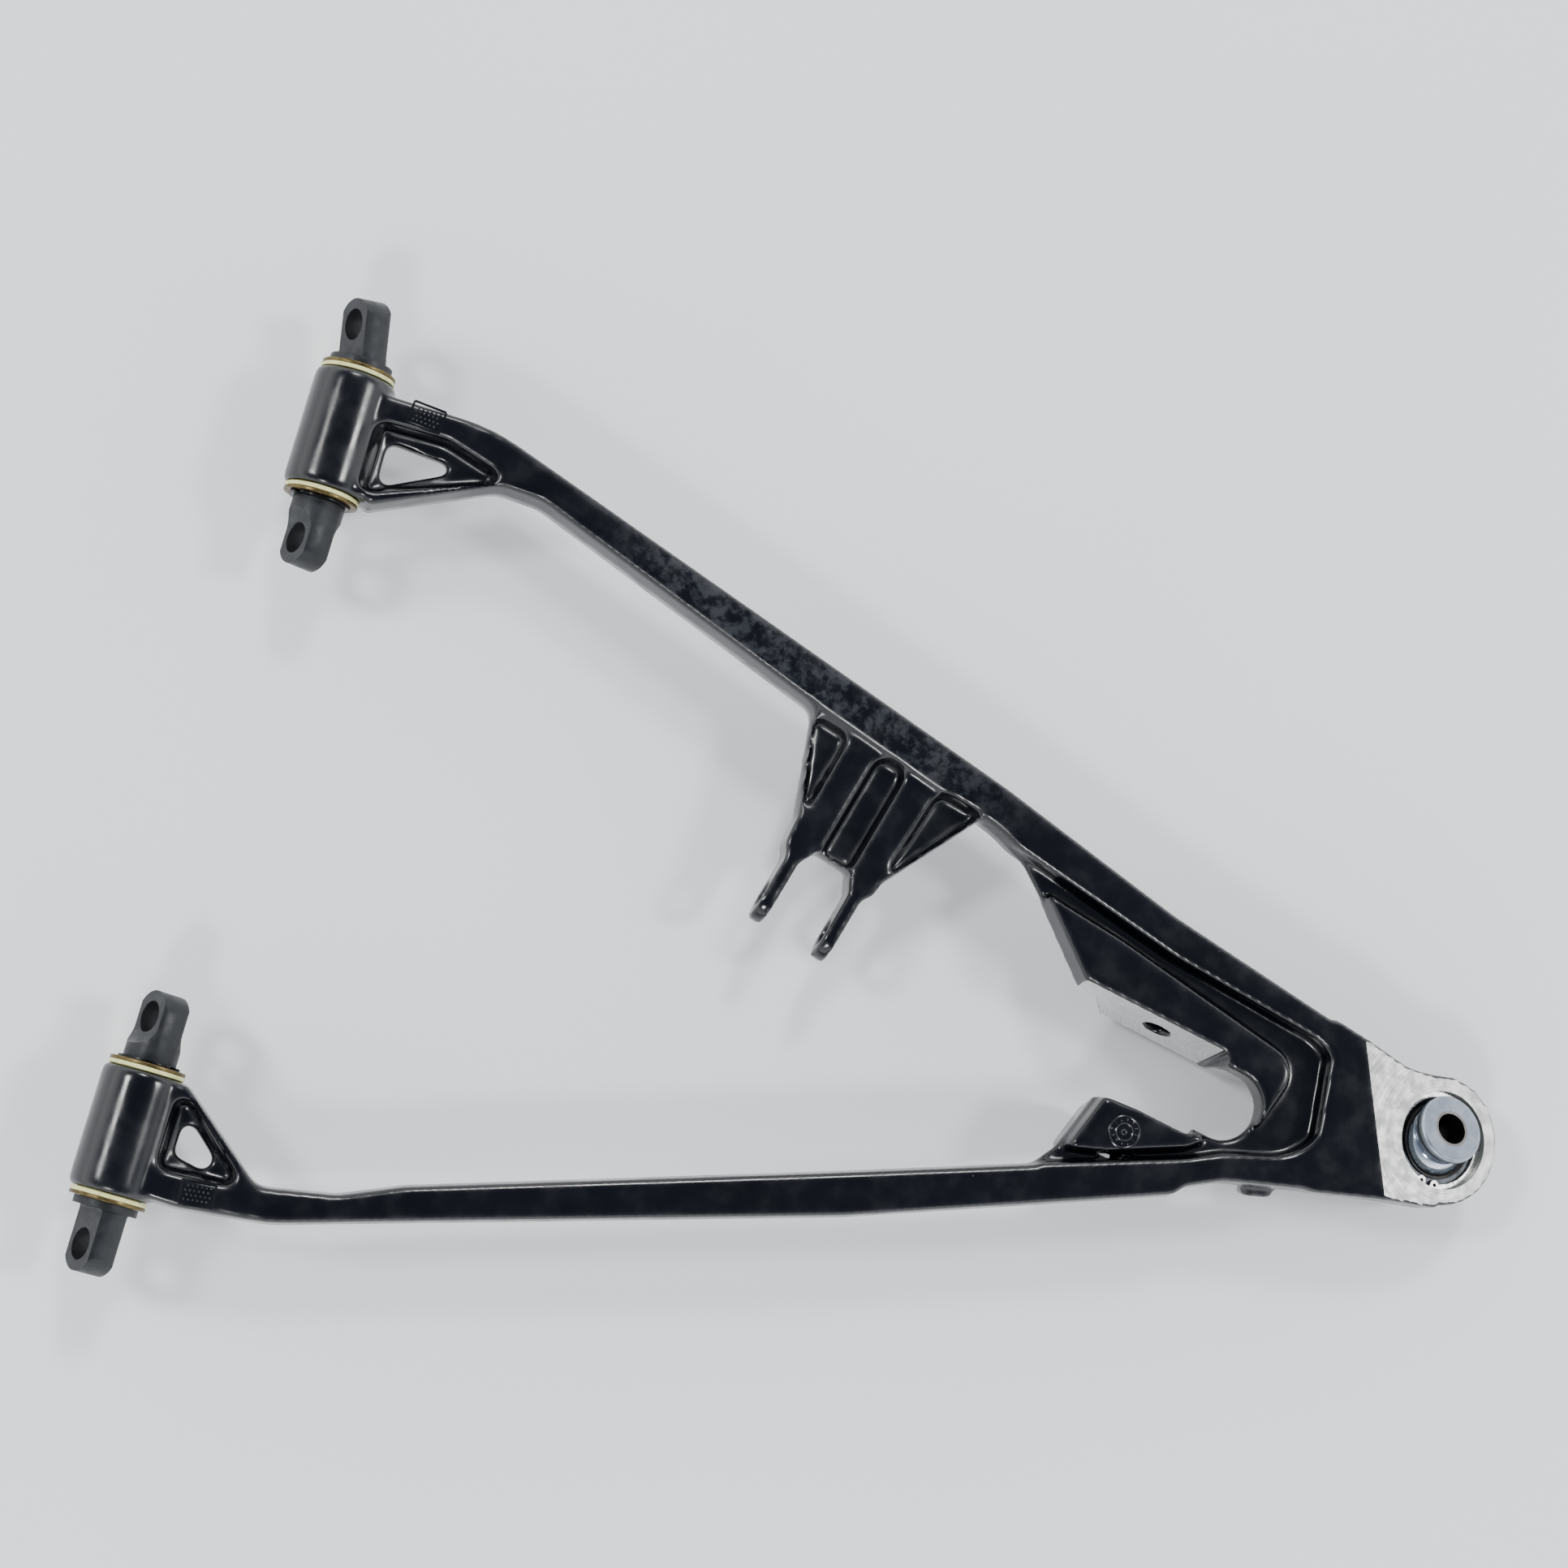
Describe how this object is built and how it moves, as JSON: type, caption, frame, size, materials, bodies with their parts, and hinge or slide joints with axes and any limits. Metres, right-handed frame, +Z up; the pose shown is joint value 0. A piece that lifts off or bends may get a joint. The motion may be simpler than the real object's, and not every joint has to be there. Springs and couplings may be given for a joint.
{
  "type": "lower control arm",
  "caption": "A-shaped cast aluminium suspension control arm with bushed cross-drilled bar pins, a link clevis, a damper slot and a spherical sleeve joint in the outer eye.",
  "frame": {"origin": "centre of the rear bar pin's outer bolt hole, on the pivot line", "axes": "+X outboard to the eye, +Y forward along the pivot line, +Z up, square to the arm's parting plane"},
  "size_m": [0.5432, 0.3929, 0.0455],
  "materials": {
    "black_casting": "gloss black powder coat, bare aluminium on the machined faces",
    "phosphate_steel": "dark phosphate",
    "bush_plastic": "pale cream",
    "yellow_zinc": "satin",
    "black_spring_steel": "satin black",
    "bright_spring_steel": "satin",
    "dark_race": "dark oxide",
    "liner": "woven low-friction liner",
    "ball_chrome": "polished",
    "blue_zinc": "blue zinc, satin",
    "rubber": "matte"
  },
  "bodies": {
    "arm": {"arm_casting": "black_casting", "front_outer_bush": "bush_plastic", "front_inner_bush": "bush_plastic", "rear_outer_bush": "bush_plastic", "rear_inner_bush": "bush_plastic", "bearing_race": "dark_race", "race_liner": "liner", "upper_snap_ring": "bright_spring_steel", "lower_snap_ring": "bright_spring_steel", "upper_dust_seal": "rubber", "lower_dust_seal": "rubber"},
    "front_pin": {"front_bar_pin": "phosphate_steel", "front_outer_washer": "yellow_zinc", "front_inner_washer": "yellow_zinc", "front_circlip": "black_spring_steel"},
    "rear_pin": {"rear_bar_pin": "phosphate_steel", "rear_outer_washer": "yellow_zinc", "rear_inner_washer": "yellow_zinc", "rear_circlip": "black_spring_steel"},
    "ball": {"joint_ball": "ball_chrome"},
    "sleeve": {"upper_spacer": "blue_zinc", "lower_spacer": "blue_zinc", "upper_o_ring": "rubber", "lower_o_ring": "rubber"}
  },
  "joints": [
    {"name": "front_pivot", "type": "hinge", "parent": "arm", "child": "front_pin", "pos_m": [0, 0.327, 0], "axis": [0, 1, 0], "range_deg": [-35, 35]},
    {"name": "rear_pivot", "type": "hinge", "parent": "arm", "child": "rear_pin", "pos_m": [0, 0.0445, 0], "axis": [0, 1, 0], "range_deg": [-35, 35]},
    {"name": "ball_tilt", "type": "hinge", "parent": "arm", "child": "ball", "pos_m": [0.49892, 0.18324, -0.00759], "axis": [-0.9513, -0.175, 0.2539], "range_deg": [-29, 1]},
    {"name": "sleeve_spin", "type": "hinge", "parent": "ball", "child": "sleeve", "pos_m": [0.49892, 0.18324, -0.00759], "axis": [0.185, 0.335, 0.9239], "continuous": true}
  ]
}
